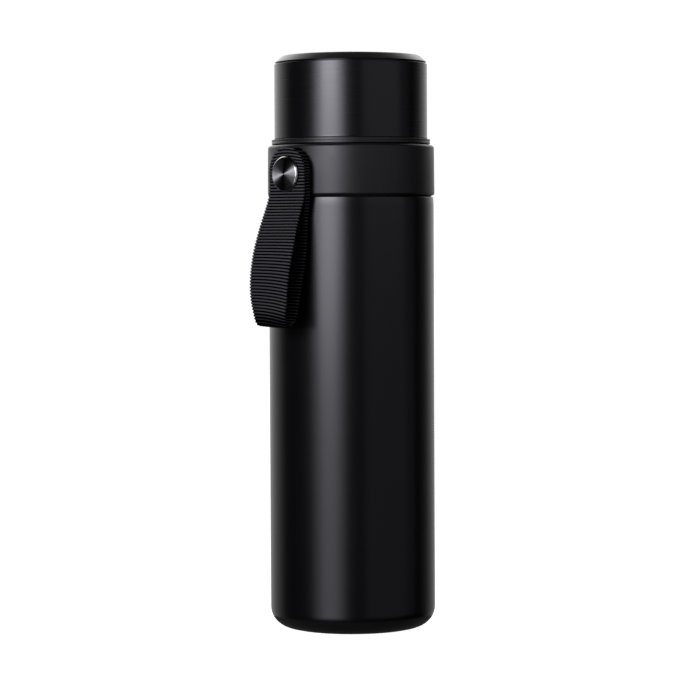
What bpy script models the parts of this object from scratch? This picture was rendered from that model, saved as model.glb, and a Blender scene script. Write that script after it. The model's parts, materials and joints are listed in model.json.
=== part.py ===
"""Insulated water bottle: a double-walled steel bottle, a screw-on mouthpiece collar that carries
a loop of webbing on a pivot screw, and a screw-on lid.

Frame: metres, +Z up. The origin is on the bottle's axis, in the plane that it stands on, and the
webbing loop is on the -X side. A turned piece is drawn as a closed outline of corners
(radius, height, rounding). A piece on the pivot screw is turned the same way, and its height is
then its distance from the bottle's axis.
"""

import math

import bmesh
import bpy
from mathutils import Vector
from mathutils.geometry import interpolate_bezier

# How finely round shapes are cut
ROUND_SEGMENTS = 36
SMALL_SEGMENTS = 24
FILLET_STEPS = 2
LARGE_FILLET_STEPS = 5
LARGE_FILLET = 0.0040
MERGE_DISTANCE = 0.0000005

# Clearance between pieces that touch on the real bottle
GAP = 0.0003

# Steel bottle: outer shell, whose wall is as thick as the inner one's
BODY_RADIUS = 0.0350
SHELL_WALL = 0.0006
BASE_FILLET = 0.0085
BASE_OPENING_RADIUS = 0.0263
BODY_TOP = 0.1823
BODY_TOP_ROUND = 0.0010
NECK_RADIUS = 0.0270
NECK_TOP = 0.1963

# Steel bottle: inner shell
INNER_RADIUS = 0.0314
INNER_BOTTOM = 0.0065
INNER_FILLET = 0.0080
INNER_SHOULDER_LOW = 0.1700
INNER_SHOULDER_HIGH = 0.1780
INNER_NECK_RADIUS = 0.0257
RIM_TOP = 0.1973

# Steel bottle: what the vacuum space and the base hold
FOIL_RADIUS = 0.03175
FOIL_THICKNESS = 0.00025
FOIL_BOTTOM = 0.0180
FOIL_TOP = 0.1660
PLATE_RADIUS = 0.0285
PLATE_BOTTOM = 0.0015
PLATE_THICKNESS = 0.0008
SEAL_HOLE_RADIUS = 0.0025
SEAL_STEM_RADIUS = 0.0022
SEAL_HEAD_RADIUS = 0.0040
SEAL_HEAD_HEIGHT = 0.0008
GETTER_RADIUS = 0.0040
GETTER_HEIGHT = 0.0018
GETTER_OFFSET = 0.0150
PAD_RADIUS = 0.0260
PAD_THICKNESS = 0.0012
PAD_ROUND = 0.0004

# Bottle thread: one start, which joins the mouthpiece to the steel neck
NECK_THREAD_LEAD = 0.0040
NECK_THREAD_TURNS = 1.25
NECK_THREAD_CREST = 0.0280
NECK_THREAD_LOW = 0.1870
NECK_THREAD_ROOT_WIDTH = 0.0016
NECK_THREAD_CREST_WIDTH = 0.0009

# Mouthpiece
BORE_RADIUS = 0.0240
LIP_RADIUS = 0.0247
LIP_BOTTOM = 0.1955
SKIRT_INNER_RADIUS = 0.0284
SKIRT_OUTER_RADIUS = 0.0302
SKIRT_BOTTOM = 0.1840
SKIRT_CREST = 0.0274
DECK_UNDERSIDE = 0.1992
DECK_FLANGE_UNDERSIDE = 0.1998
DECK_TOP = 0.2020
DECK_RADIUS = 0.0329
SPOUT_RADIUS = 0.0270
SPOUT_TOP = 0.2170
SPOUT_ROUND = 0.0012
COLLAR_GASKET_INNER = 0.0250
COLLAR_GASKET_OUTER = 0.0279

# Collar ring
COLLAR_LOW_RADIUS = 0.03535
COLLAR_HIGH_RADIUS = 0.03515
COLLAR_INNER_RADIUS = 0.0332
COLLAR_BOTTOM = 0.1826
COLLAR_TOP = 0.2041
COLLAR_LOW_ROUND = 0.0008
COLLAR_TOP_ROUND = 0.0013
COLLAR_MOUTH_RADIUS = 0.0293
COLLAR_FLANGE_UNDERSIDE = 0.2023

# Pivot screw, on a line along X. A distance here is measured from the bottle's axis.
SCREW_HEIGHT = 0.1917
SPOTFACE_DISTANCE = 0.0347
SPOTFACE_RADIUS = 0.0064
INSERT_BORE_RADIUS = 0.0029
INSERT_BORE_NEAR = 0.0302
CUTTER_FAR = 0.0395
BOSS_HALF_WIDTH = 0.0045
BOSS_NEAR = 0.0307
BOSS_FAR = 0.0340
INSERT_RADIUS = 0.0026
INSERT_HOLE_RADIUS = 0.0018
INSERT_NEAR = 0.0312
INSERT_FAR = 0.0344
WASHER_NEAR = 0.0350
WASHER_FAR = 0.0356
WASHER_RADIUS = 0.0060
WASHER_HOLE_RADIUS = 0.0027
BUSH_NEAR = 0.0350
BUSH_FAR = 0.0386
BUSH_RADIUS = 0.0024
BUSH_HOLE_RADIUS = 0.0018
SHANK_NEAR = 0.0316
SHANK_RADIUS = 0.0015
HEAD_NEAR = 0.0389
HEAD_FAR = 0.0401
HEAD_RADIUS = 0.0073
HEAD_BEVEL = 0.0005

# Webbing loop: its two ends lie flat on each other round the pivot screw, and are rounded above
# that height
WEBBING_END_HEIGHT = 0.1927
WEBBING_WIDTH = 0.0210
WEBBING_THICKNESS = 0.0012
WEBBING_HOLE_RADIUS = 0.0028
OUTER_LAYER_DISTANCE = 0.0380
INNER_LAYER_DISTANCE = 0.0365
END_ARC_STEPS = 8
STRAIGHT_STEPS = 2

# Its middle line below the straight ends, in points (distance, height). Each curve runs from a
# knot, by way of two handles, to the next knot, and is cut into that many steps.
OUTER_TOP = (OUTER_LAYER_DISTANCE, 0.1850)
BULGE = (0.0492, 0.1420)
FOLD = (0.0460, 0.1289)
FOLD_BACK = (0.0411, 0.1350)
INNER_TOP = (INNER_LAYER_DISTANCE, 0.1725)
WEBBING_CURVES = (
    (OUTER_TOP, (OUTER_LAYER_DISTANCE, 0.1775), (BULGE[0], 0.1620), BULGE, 8),
    (BULGE, (BULGE[0], 0.1340), (0.0489, FOLD[1]), FOLD, 6),
    (FOLD, (0.0432, FOLD[1]), (0.0416, 0.1310), FOLD_BACK, 5),
    (FOLD_BACK, (0.0399, 0.1446), (INNER_LAYER_DISTANCE, 0.1575), INNER_TOP, 7),
)

# Lid thread: three starts, which join the lid to the spout
LID_THREAD_LEAD = 0.0090
LID_THREAD_STARTS = 3
LID_THREAD_TURNS = 0.45
SPOUT_THREAD_CREST = 0.0282
SPOUT_THREAD_LOW = 0.2080
LID_THREAD_ROOT_WIDTH = 0.0013
LID_THREAD_CREST_WIDTH = 0.0007

# How far a thread's ridge is sunk into its wall, and how its ends taper off
THREAD_SUNK = 0.0003
THREAD_TAPER = (0.2, 0.7)

# Lid liner
LINER_INNER_RADIUS = 0.0286
LINER_OUTER_RADIUS = 0.0306
LINER_CREST = 0.0274
FLANGE_RADIUS = 0.03355
FLANGE_GROOVE_RADIUS = 0.03345
FLANGE_GROOVE_HALF_HEIGHT = 0.00015
FLANGE_BOTTOM = 0.2046
FLANGE_TOP = 0.2066
FLANGE_ROUND = 0.00015
LINER_STEP_RADIUS = 0.0314
LINER_STEP_TOP = 0.2092
LINER_CEILING = 0.2196
LINER_TOP = 0.2216
PLUG_OUTER_RADIUS = 0.0234
PLUG_INNER_RADIUS = 0.0222
PLUG_BOTTOM = 0.2150
LID_GASKET_INNER = 0.0238
LID_GASKET_OUTER = 0.0282

# Lid sleeve, insulation and top cap
SLEEVE_RADIUS = 0.0324
SLEEVE_WALL = 0.0006
SLEEVE_BOTTOM = 0.2069
SLEEVE_TOP = 0.2387
SLEEVE_LOW_ROUND = 0.0002
SLEEVE_TOP_ROUND = 0.0002
SLEEVE_LIP_RADIUS = 0.0311
FOAM_RADIUS = 0.0302
FOAM_TOP = 0.2356
CAP_RADIUS = 0.0321
CAP_BOTTOM = 0.2392
CAP_TOP = 0.2420
CAP_TOP_RADIUS = 0.0289
CAP_TOP_ROUND = 0.0016
CAP_CEILING = 0.2396
CAP_PLUG_OUTER = 0.0308
CAP_PLUG_INNER = 0.0288
CAP_PLUG_BOTTOM = 0.2360

# Finish of each material: base colour, roughness, metallic
FINISHES = {
    "satin_black_paint": ((0.010, 0.010, 0.011), 0.32, 0.0),
    "matte_black_plastic": ((0.016, 0.016, 0.017), 0.55, 0.0),
    "stainless_steel": ((0.60, 0.60, 0.59), 0.30, 1.0),
    "spun_dark_steel": ((0.22, 0.22, 0.22), 0.28, 1.0),
    "copper_foil": ((0.80, 0.42, 0.28), 0.25, 1.0),
    "brass": ((0.75, 0.58, 0.28), 0.30, 1.0),
    "getter_metal": ((0.35, 0.35, 0.36), 0.60, 1.0),
    "sealing_glass": ((0.10, 0.14, 0.12), 0.15, 0.0),
    "black_rubber": ((0.012, 0.012, 0.012), 0.75, 0.0),
    "white_silicone": ((0.75, 0.75, 0.73), 0.50, 0.0),
    "black_polypropylene": ((0.018, 0.018, 0.019), 0.45, 0.0),
    "white_nylon": ((0.70, 0.70, 0.68), 0.45, 0.0),
    "white_foam": ((0.85, 0.85, 0.83), 0.90, 0.0),
    "black_webbing": ((0.012, 0.012, 0.014), 0.80, 0.0),
}


def clear_scene():
    for obj in list(bpy.data.objects):
        bpy.data.objects.remove(obj, do_unlink=True)


def material(name):
    """The named material, made at its first use."""
    made = bpy.data.materials.get(name)
    if made:
        return made
    colour, roughness, metallic = FINISHES[name]
    made = bpy.data.materials.new(name)
    made.use_nodes = True
    shader = made.node_tree.nodes["Principled BSDF"]
    shader.inputs["Base Color"].default_value = (*colour, 1.0)
    shader.inputs["Roughness"].default_value = roughness
    shader.inputs["Metallic"].default_value = metallic
    return made


def frame_empty(name, location=(0, 0, 0), parent=None):
    """An empty on a joint's axis, which the pieces that move together hang from."""
    empty = bpy.data.objects.new(name, None)
    empty.location = location
    empty.parent = parent
    bpy.context.scene.collection.objects.link(empty)
    return empty


def object_from_bmesh(name, bm, material_name, parent=None):
    bmesh.ops.recalc_face_normals(bm, faces=bm.faces)
    mesh = bpy.data.meshes.new(name)
    bm.to_mesh(mesh)
    bm.free()
    mesh.materials.append(material(material_name))
    mesh.shade_smooth()
    mesh.set_sharp_from_angle(angle=math.radians(30))
    obj = bpy.data.objects.new(name, mesh)
    obj.parent = parent
    bpy.context.scene.collection.objects.link(obj)
    return obj


def combine(obj, tool, operation):
    """Adds or cuts tool, a helper that isn't a piece itself."""
    modifier = obj.modifiers.new(operation.lower() + "_" + tool.name, "BOOLEAN")
    modifier.operation = operation
    modifier.object = tool
    tool.hide_render = True
    tool.display_type = "WIRE"


def corner_points(before, corner, after, rounding):
    """The points that round one corner of an outline, or the corner itself where it is sharp."""
    if rounding == 0:
        return [corner]
    to_before = (before - corner).normalized()
    to_after = (after - corner).normalized()
    half_angle = to_before.angle(to_after) / 2
    start = corner + to_before * (rounding / math.tan(half_angle))
    middle_way = (to_before + to_after).normalized()
    centre = corner + middle_way * (rounding / math.sin(half_angle))
    sweep = (math.pi - 2 * half_angle) * math.copysign(1, to_before.cross(to_after))
    steps = LARGE_FILLET_STEPS if rounding > LARGE_FILLET else FILLET_STEPS
    points = []
    for step in range(steps + 1):
        angle = sweep * step / steps
        spoke = start - centre
        turned_spoke = Vector((
            spoke.x * math.cos(angle) + spoke.y * math.sin(angle),
            spoke.y * math.cos(angle) - spoke.x * math.sin(angle),
        ))
        points.append(centre + turned_spoke)
    return points


def rounded_outline(corners):
    """A closed outline of (radius, height) points from corners (radius, height[, rounding])."""
    places = [Vector(corner[:2]) for corner in corners]
    outline = []
    for index, corner in enumerate(corners):
        rounding = corner[2] if len(corner) > 2 else 0
        before = places[index - 1]
        after = places[(index + 1) % len(places)]
        outline += corner_points(before, places[index], after, rounding)
    return outline


def turned(name, corners, material_name, parent=None, segments=ROUND_SEGMENTS):
    """A solid of revolution about Z, from a closed outline of its section."""
    bm = bmesh.new()
    section = [bm.verts.new((point.x, 0, point.y)) for point in rounded_outline(corners)]
    edges = []
    for index, vertex in enumerate(section):
        edges.append(bm.edges.new((section[index - 1], vertex)))
    bmesh.ops.spin(
        bm,
        geom=section + edges,
        cent=(0, 0, 0),
        axis=(0, 0, 1),
        angle=2 * math.pi,
        steps=segments,
        use_merge=True,
    )
    bmesh.ops.remove_doubles(bm, verts=bm.verts, dist=MERGE_DISTANCE)
    on_axis = [e for e in bm.edges if all(v.co.xy.length < MERGE_DISTANCE for v in e.verts)]
    bmesh.ops.delete(bm, geom=on_axis, context="EDGES")
    return object_from_bmesh(name, bm, material_name, parent)


def turned_on_screw(name, corners, material_name, parent):
    """A piece turned about the pivot screw: local Z runs outwards, along -X."""
    obj = turned(name, corners, material_name, parent, SMALL_SEGMENTS)
    obj.location = (0, 0, SCREW_HEIGHT)
    obj.rotation_euler = (0, -math.pi / 2, 0)
    return obj


def tube_corners(inner_radius, outer_radius, low, high):
    return [
        (inner_radius, low),
        (outer_radius, low),
        (outer_radius, high),
        (inner_radius, high),
    ]


def disc_corners(radius, low, high):
    return [(0, low), (radius, low), (radius, high), (0, high)]


def add_thread(target, name, wall_radius, crest_radius, low, lead, turns, starts, widths):
    """Adds right-hand helical ridges to target, sunk a little into its wall."""
    root_width, crest_width = widths
    outwards = math.copysign(1, crest_radius - wall_radius)
    root_radius = wall_radius - outwards * THREAD_SUNK
    steps = round(turns * ROUND_SEGMENTS)
    taper = [1.0] * (steps + 1)
    for index, share in enumerate(THREAD_TAPER):
        taper[index] = share
        taper[-1 - index] = share
    bm = bmesh.new()
    for start in range(starts):
        sections = []
        for step in range(steps + 1):
            turn = turns * step / steps
            angle = 2 * math.pi * (turn + start / starts)
            crest = wall_radius + (crest_radius - wall_radius) * taper[step]
            height = low + lead * turn
            profile = (
                (root_radius, height - root_width / 2),
                (crest, height - crest_width / 2),
                (crest, height + crest_width / 2),
                (root_radius, height + root_width / 2),
            )
            ring = [bm.verts.new((r * math.cos(angle), r * math.sin(angle), z)) for r, z in profile]
            sections.append(ring)
        join_sections(bm, sections)
    combine(target, object_from_bmesh(name, bm, target.data.materials[0].name), "UNION")


def join_sections(bm, sections):
    """Faces between neighbouring sections of a swept bar, and over its two ends."""
    for this, following in zip(sections, sections[1:]):
        count = len(this)
        for index in range(count):
            after = (index + 1) % count
            bm.faces.new((this[index], this[after], following[after], following[index]))
    bm.faces.new(sections[0])
    bm.faces.new(sections[-1])


def make_outer_shell(parent):
    inside = BODY_RADIUS - SHELL_WALL
    shell = turned(
        "outer_shell",
        [
            (BASE_OPENING_RADIUS, 0),
            (BODY_RADIUS, 0, BASE_FILLET),
            (BODY_RADIUS, BODY_TOP, BODY_TOP_ROUND),
            (NECK_RADIUS, BODY_TOP),
            (NECK_RADIUS, NECK_TOP),
            (NECK_RADIUS - SHELL_WALL, NECK_TOP),
            (NECK_RADIUS - SHELL_WALL, BODY_TOP - SHELL_WALL),
            (inside, BODY_TOP - SHELL_WALL),
            (inside, SHELL_WALL, BASE_FILLET - SHELL_WALL),
            (BASE_OPENING_RADIUS, SHELL_WALL),
        ],
        "satin_black_paint",
        parent,
    )
    add_thread(
        shell,
        "neck_thread",
        NECK_RADIUS,
        NECK_THREAD_CREST,
        NECK_THREAD_LOW,
        NECK_THREAD_LEAD,
        NECK_THREAD_TURNS,
        1,
        (NECK_THREAD_ROOT_WIDTH, NECK_THREAD_CREST_WIDTH),
    )


def make_inner_shell(parent):
    inside = INNER_RADIUS - SHELL_WALL
    neck_inside = INNER_NECK_RADIUS - SHELL_WALL
    floor = INNER_BOTTOM + SHELL_WALL
    turned(
        "inner_shell",
        [
            (0, INNER_BOTTOM),
            (INNER_RADIUS, INNER_BOTTOM, INNER_FILLET),
            (INNER_RADIUS, INNER_SHOULDER_LOW),
            (INNER_NECK_RADIUS, INNER_SHOULDER_HIGH),
            (INNER_NECK_RADIUS, RIM_TOP - SHELL_WALL),
            (NECK_RADIUS, RIM_TOP - SHELL_WALL),
            (NECK_RADIUS, RIM_TOP),
            (neck_inside, RIM_TOP),
            (neck_inside, INNER_SHOULDER_HIGH),
            (inside, INNER_SHOULDER_LOW),
            (inside, floor, INNER_FILLET - SHELL_WALL),
            (0, floor),
        ],
        "stainless_steel",
        parent,
    )


def make_vacuum_pieces(parent):
    plate_top = PLATE_BOTTOM + PLATE_THICKNESS
    turned(
        "reflective_foil",
        tube_corners(FOIL_RADIUS, FOIL_RADIUS + FOIL_THICKNESS, FOIL_BOTTOM, FOIL_TOP),
        "copper_foil",
        parent,
    )
    turned(
        "bottom_plate",
        tube_corners(SEAL_HOLE_RADIUS, PLATE_RADIUS, PLATE_BOTTOM, plate_top),
        "stainless_steel",
        parent,
    )
    head_bottom = plate_top + GAP
    turned(
        "vacuum_seal",
        [
            (0, PLATE_BOTTOM),
            (SEAL_STEM_RADIUS, PLATE_BOTTOM),
            (SEAL_STEM_RADIUS, head_bottom),
            (SEAL_HEAD_RADIUS, head_bottom),
            (SEAL_HEAD_RADIUS, head_bottom + SEAL_HEAD_HEIGHT),
            (0, head_bottom + SEAL_HEAD_HEIGHT),
        ],
        "sealing_glass",
        parent,
        SMALL_SEGMENTS,
    )
    getter = turned(
        "getter",
        disc_corners(GETTER_RADIUS, 0, GETTER_HEIGHT),
        "getter_metal",
        parent,
        SMALL_SEGMENTS,
    )
    getter.location = (GETTER_OFFSET, 0, plate_top + GAP)


def make_base_pad(parent):
    turned(
        "base_pad",
        [(0, 0), (PAD_RADIUS, 0, PAD_ROUND), (PAD_RADIUS, PAD_THICKNESS), (0, PAD_THICKNESS)],
        "black_rubber",
        parent,
    )


def make_mouthpiece(parent):
    mouthpiece = turned(
        "mouthpiece",
        [
            (BORE_RADIUS, LIP_BOTTOM),
            (LIP_RADIUS, LIP_BOTTOM),
            (LIP_RADIUS, DECK_UNDERSIDE),
            (SKIRT_INNER_RADIUS, DECK_UNDERSIDE),
            (SKIRT_INNER_RADIUS, SKIRT_BOTTOM),
            (SKIRT_OUTER_RADIUS, SKIRT_BOTTOM),
            (SKIRT_OUTER_RADIUS, DECK_FLANGE_UNDERSIDE),
            (DECK_RADIUS, DECK_FLANGE_UNDERSIDE),
            (DECK_RADIUS, DECK_TOP),
            (SPOUT_RADIUS, DECK_TOP),
            (SPOUT_RADIUS, SPOUT_TOP, SPOUT_ROUND),
            (BORE_RADIUS, SPOUT_TOP, SPOUT_ROUND),
        ],
        "black_polypropylene",
        parent,
    )
    add_thread(
        mouthpiece,
        "skirt_thread",
        SKIRT_INNER_RADIUS,
        SKIRT_CREST,
        NECK_THREAD_LOW - NECK_THREAD_LEAD / 2,
        NECK_THREAD_LEAD,
        NECK_THREAD_TURNS,
        1,
        (NECK_THREAD_ROOT_WIDTH, NECK_THREAD_CREST_WIDTH),
    )
    add_thread(
        mouthpiece,
        "spout_thread",
        SPOUT_RADIUS,
        SPOUT_THREAD_CREST,
        SPOUT_THREAD_LOW,
        LID_THREAD_LEAD,
        LID_THREAD_TURNS,
        LID_THREAD_STARTS,
        (LID_THREAD_ROOT_WIDTH, LID_THREAD_CREST_WIDTH),
    )


def make_collar_gasket(parent):
    turned(
        "collar_gasket",
        tube_corners(
            COLLAR_GASKET_INNER,
            COLLAR_GASKET_OUTER,
            RIM_TOP + GAP,
            DECK_UNDERSIDE - GAP,
        ),
        "white_silicone",
        parent,
    )


def boss_block():
    """The block on the collar ring's inside that holds the threaded insert."""
    bm = bmesh.new()
    bmesh.ops.create_cube(bm, size=1)
    depth = BOSS_FAR - BOSS_NEAR
    bmesh.ops.scale(bm, vec=(depth, 2 * BOSS_HALF_WIDTH, 2 * BOSS_HALF_WIDTH), verts=bm.verts)
    middle = (-(BOSS_NEAR + BOSS_FAR) / 2, 0, SCREW_HEIGHT)
    bmesh.ops.translate(bm, vec=middle, verts=bm.verts)
    return object_from_bmesh("boss_block", bm, "matte_black_plastic")


def make_collar_ring(parent):
    ring = turned(
        "collar_ring",
        [
            (COLLAR_INNER_RADIUS, COLLAR_BOTTOM),
            (COLLAR_LOW_RADIUS, COLLAR_BOTTOM, COLLAR_LOW_ROUND),
            (COLLAR_HIGH_RADIUS, COLLAR_TOP, COLLAR_TOP_ROUND),
            (COLLAR_MOUTH_RADIUS, COLLAR_TOP),
            (COLLAR_MOUTH_RADIUS, COLLAR_FLANGE_UNDERSIDE),
            (COLLAR_INNER_RADIUS, COLLAR_FLANGE_UNDERSIDE),
        ],
        "matte_black_plastic",
        parent,
    )
    spotface = turned_on_screw(
        "spotface_cutter",
        disc_corners(SPOTFACE_RADIUS, SPOTFACE_DISTANCE, CUTTER_FAR),
        "matte_black_plastic",
        parent,
    )
    bore = turned_on_screw(
        "insert_bore_cutter",
        disc_corners(INSERT_BORE_RADIUS, INSERT_BORE_NEAR, CUTTER_FAR),
        "matte_black_plastic",
        parent,
    )
    combine(ring, boss_block(), "UNION")
    combine(ring, spotface, "DIFFERENCE")
    combine(ring, bore, "DIFFERENCE")


def make_pivot_pieces(parent):
    turned_on_screw(
        "threaded_insert",
        tube_corners(INSERT_HOLE_RADIUS, INSERT_RADIUS, INSERT_NEAR, INSERT_FAR),
        "brass",
        parent,
    )
    turned_on_screw(
        "pivot_washer",
        tube_corners(WASHER_HOLE_RADIUS, WASHER_RADIUS, WASHER_NEAR, WASHER_FAR),
        "white_nylon",
        parent,
    )
    turned_on_screw(
        "pivot_bush",
        tube_corners(BUSH_HOLE_RADIUS, BUSH_RADIUS, BUSH_NEAR, BUSH_FAR),
        "stainless_steel",
        parent,
    )
    turned_on_screw(
        "strap_screw",
        [
            (0, SHANK_NEAR),
            (SHANK_RADIUS, SHANK_NEAR),
            (SHANK_RADIUS, HEAD_NEAR),
            (HEAD_RADIUS, HEAD_NEAR),
            (HEAD_RADIUS, HEAD_FAR - HEAD_BEVEL),
            (HEAD_RADIUS - HEAD_BEVEL, HEAD_FAR),
            (0, HEAD_FAR),
        ],
        "spun_dark_steel",
        parent,
    )


def end_arc(distance, from_tip):
    """Stations over a rounded end: (distance, height, half width), from the tip or towards it."""
    half = WEBBING_WIDTH / 2
    stations = []
    for step in range(1, END_ARC_STEPS + 1):
        angle = math.pi / 2 * step / END_ARC_STEPS
        height = WEBBING_END_HEIGHT + half * math.cos(angle)
        stations.append((distance, height, half * math.sin(angle)))
    return stations if from_tip else stations[::-1]


def webbing_stations():
    """Stations along the loop's middle line, down the outer layer and up the inner one."""
    half = WEBBING_WIDTH / 2
    stations = end_arc(OUTER_LAYER_DISTANCE, from_tip=True)
    for step in range(1, STRAIGHT_STEPS + 1):
        share = step / STRAIGHT_STEPS
        height = WEBBING_END_HEIGHT + (OUTER_TOP[1] - WEBBING_END_HEIGHT) * share
        stations.append((OUTER_LAYER_DISTANCE, height, half))
    for knot, handle, next_handle, next_knot, steps in WEBBING_CURVES:
        points = interpolate_bezier(
            Vector(knot), Vector(handle), Vector(next_handle), Vector(next_knot), steps + 1
        )
        stations += [(point.x, point.y, half) for point in points[1:]]
    for step in range(1, STRAIGHT_STEPS):
        share = step / STRAIGHT_STEPS
        height = INNER_TOP[1] + (WEBBING_END_HEIGHT - INNER_TOP[1]) * share
        stations.append((INNER_LAYER_DISTANCE, height, half))
    return stations + end_arc(INNER_LAYER_DISTANCE, from_tip=False)


def make_webbing(parent):
    """The webbing, swept along its stations. Its origin is on the pivot screw's line."""
    stations = webbing_stations()
    middle = [Vector((-distance, height - SCREW_HEIGHT)) for distance, height, _ in stations]
    bm = bmesh.new()
    sections = []
    for index, (_, _, half_width) in enumerate(stations):
        before = middle[max(index - 1, 0)]
        after = middle[min(index + 1, len(middle) - 1)]
        along = (after - before).normalized()
        across = Vector((-along.y, along.x)) * (WEBBING_THICKNESS / 2)
        near = middle[index] + across
        far = middle[index] - across
        sections.append([
            bm.verts.new((near.x, -half_width, near.y)),
            bm.verts.new((near.x, half_width, near.y)),
            bm.verts.new((far.x, half_width, far.y)),
            bm.verts.new((far.x, -half_width, far.y)),
        ])
    join_sections(bm, sections)
    webbing = object_from_bmesh("strap_webbing", bm, "black_webbing", parent)
    hole = turned_on_screw(
        "webbing_hole_cutter",
        disc_corners(WEBBING_HOLE_RADIUS, SPOTFACE_DISTANCE, CUTTER_FAR),
        "black_webbing",
        parent,
    )
    hole.location = (0, 0, 0)
    combine(webbing, hole, "DIFFERENCE")


def make_lid_liner(parent):
    flange_middle = (FLANGE_BOTTOM + FLANGE_TOP) / 2
    liner = turned(
        "lid_liner",
        [
            (LINER_INNER_RADIUS, FLANGE_BOTTOM),
            (FLANGE_RADIUS, FLANGE_BOTTOM, FLANGE_ROUND),
            (FLANGE_RADIUS, flange_middle - 2 * FLANGE_GROOVE_HALF_HEIGHT),
            (FLANGE_GROOVE_RADIUS, flange_middle - FLANGE_GROOVE_HALF_HEIGHT),
            (FLANGE_GROOVE_RADIUS, flange_middle + FLANGE_GROOVE_HALF_HEIGHT),
            (FLANGE_RADIUS, flange_middle + 2 * FLANGE_GROOVE_HALF_HEIGHT),
            (FLANGE_RADIUS, FLANGE_TOP, FLANGE_ROUND),
            (LINER_STEP_RADIUS, FLANGE_TOP),
            (LINER_STEP_RADIUS, LINER_STEP_TOP),
            (LINER_OUTER_RADIUS, LINER_STEP_TOP),
            (LINER_OUTER_RADIUS, LINER_TOP),
            (0, LINER_TOP),
            (0, LINER_CEILING),
            (PLUG_INNER_RADIUS, LINER_CEILING),
            (PLUG_INNER_RADIUS, PLUG_BOTTOM),
            (PLUG_OUTER_RADIUS, PLUG_BOTTOM),
            (PLUG_OUTER_RADIUS, LINER_CEILING),
            (LINER_INNER_RADIUS, LINER_CEILING),
        ],
        "black_polypropylene",
        parent,
    )
    pitch = LID_THREAD_LEAD / LID_THREAD_STARTS
    add_thread(
        liner,
        "liner_thread",
        LINER_INNER_RADIUS,
        LINER_CREST,
        SPOUT_THREAD_LOW - pitch / 2,
        LID_THREAD_LEAD,
        LID_THREAD_TURNS,
        LID_THREAD_STARTS,
        (LID_THREAD_ROOT_WIDTH, LID_THREAD_CREST_WIDTH),
    )


def make_lid_gasket(parent):
    turned(
        "lid_gasket",
        tube_corners(
            LID_GASKET_INNER,
            LID_GASKET_OUTER,
            SPOUT_TOP + GAP,
            LINER_CEILING - GAP,
        ),
        "white_silicone",
        parent,
    )


def make_lid_sleeve(parent):
    inside = SLEEVE_RADIUS - SLEEVE_WALL
    turned(
        "lid_sleeve",
        [
            (inside, SLEEVE_BOTTOM),
            (SLEEVE_RADIUS, SLEEVE_BOTTOM, SLEEVE_LOW_ROUND),
            (SLEEVE_RADIUS, SLEEVE_TOP, SLEEVE_TOP_ROUND),
            (SLEEVE_LIP_RADIUS, SLEEVE_TOP),
            (SLEEVE_LIP_RADIUS, SLEEVE_TOP - SLEEVE_WALL),
            (inside, SLEEVE_TOP - SLEEVE_WALL),
        ],
        "satin_black_paint",
        parent,
    )


def make_lid_top(parent):
    turned(
        "lid_foam",
        disc_corners(FOAM_RADIUS, LINER_TOP + GAP, FOAM_TOP),
        "white_foam",
        parent,
    )
    turned(
        "lid_cap",
        [
            (0, CAP_CEILING),
            (CAP_PLUG_INNER, CAP_CEILING),
            (CAP_PLUG_INNER, CAP_PLUG_BOTTOM),
            (CAP_PLUG_OUTER, CAP_PLUG_BOTTOM),
            (CAP_PLUG_OUTER, CAP_BOTTOM),
            (CAP_RADIUS, CAP_BOTTOM),
            (CAP_TOP_RADIUS, CAP_TOP, CAP_TOP_ROUND),
            (0, CAP_TOP),
        ],
        "matte_black_plastic",
        parent,
    )


def main():
    clear_scene()
    bottle = frame_empty("bottle_frame")
    collar = frame_empty("collar_frame", parent=bottle)
    strap = frame_empty("strap_frame", location=(0, 0, SCREW_HEIGHT), parent=collar)
    lid = frame_empty("lid_frame", parent=collar)
    make_outer_shell(bottle)
    make_inner_shell(bottle)
    make_vacuum_pieces(bottle)
    make_base_pad(bottle)
    make_collar_gasket(collar)
    make_mouthpiece(collar)
    make_collar_ring(collar)
    make_pivot_pieces(collar)
    make_webbing(strap)
    make_lid_gasket(lid)
    make_lid_liner(lid)
    make_lid_sleeve(lid)
    make_lid_top(lid)


main()
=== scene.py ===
"""The looks of the insulated water bottle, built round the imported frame: a fine mesh and a finish
for each piece, a white studio, and the camera.

Metres, +Z up. The bottle stands on z = 0 with its axis on Z, and the webbing loop is on the -X side.
A turned piece is drawn as a closed outline of corners (radius, height, rounding). A piece on the
pivot screw is turned the same way, and its height is then its distance from the bottle's axis.
"""

import json
import math

import bmesh
import bpy
import numpy as np
from mathutils import Matrix, Quaternion, Vector
from mathutils.geometry import interpolate_bezier


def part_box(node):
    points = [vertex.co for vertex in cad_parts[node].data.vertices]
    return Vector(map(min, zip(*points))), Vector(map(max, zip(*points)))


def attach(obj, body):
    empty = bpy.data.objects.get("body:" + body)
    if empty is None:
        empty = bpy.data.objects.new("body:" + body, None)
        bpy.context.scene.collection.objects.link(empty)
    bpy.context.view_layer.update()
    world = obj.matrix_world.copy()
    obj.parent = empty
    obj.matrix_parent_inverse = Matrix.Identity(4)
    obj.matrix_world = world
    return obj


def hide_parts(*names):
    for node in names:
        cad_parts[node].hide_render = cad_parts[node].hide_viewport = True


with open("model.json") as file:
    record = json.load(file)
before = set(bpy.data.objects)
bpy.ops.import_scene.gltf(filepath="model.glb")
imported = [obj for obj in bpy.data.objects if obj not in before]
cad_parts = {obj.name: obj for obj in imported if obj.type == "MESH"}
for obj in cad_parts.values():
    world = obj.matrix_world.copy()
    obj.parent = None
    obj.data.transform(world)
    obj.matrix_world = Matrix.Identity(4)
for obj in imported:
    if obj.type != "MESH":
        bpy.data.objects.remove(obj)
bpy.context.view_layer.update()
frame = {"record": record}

# How finely round shapes are cut
ROUND_SEGMENTS = 288
SCREW_SEGMENTS = 96
ARC_STEP = math.radians(9)
THREAD_STEP = 0.00014
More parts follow.
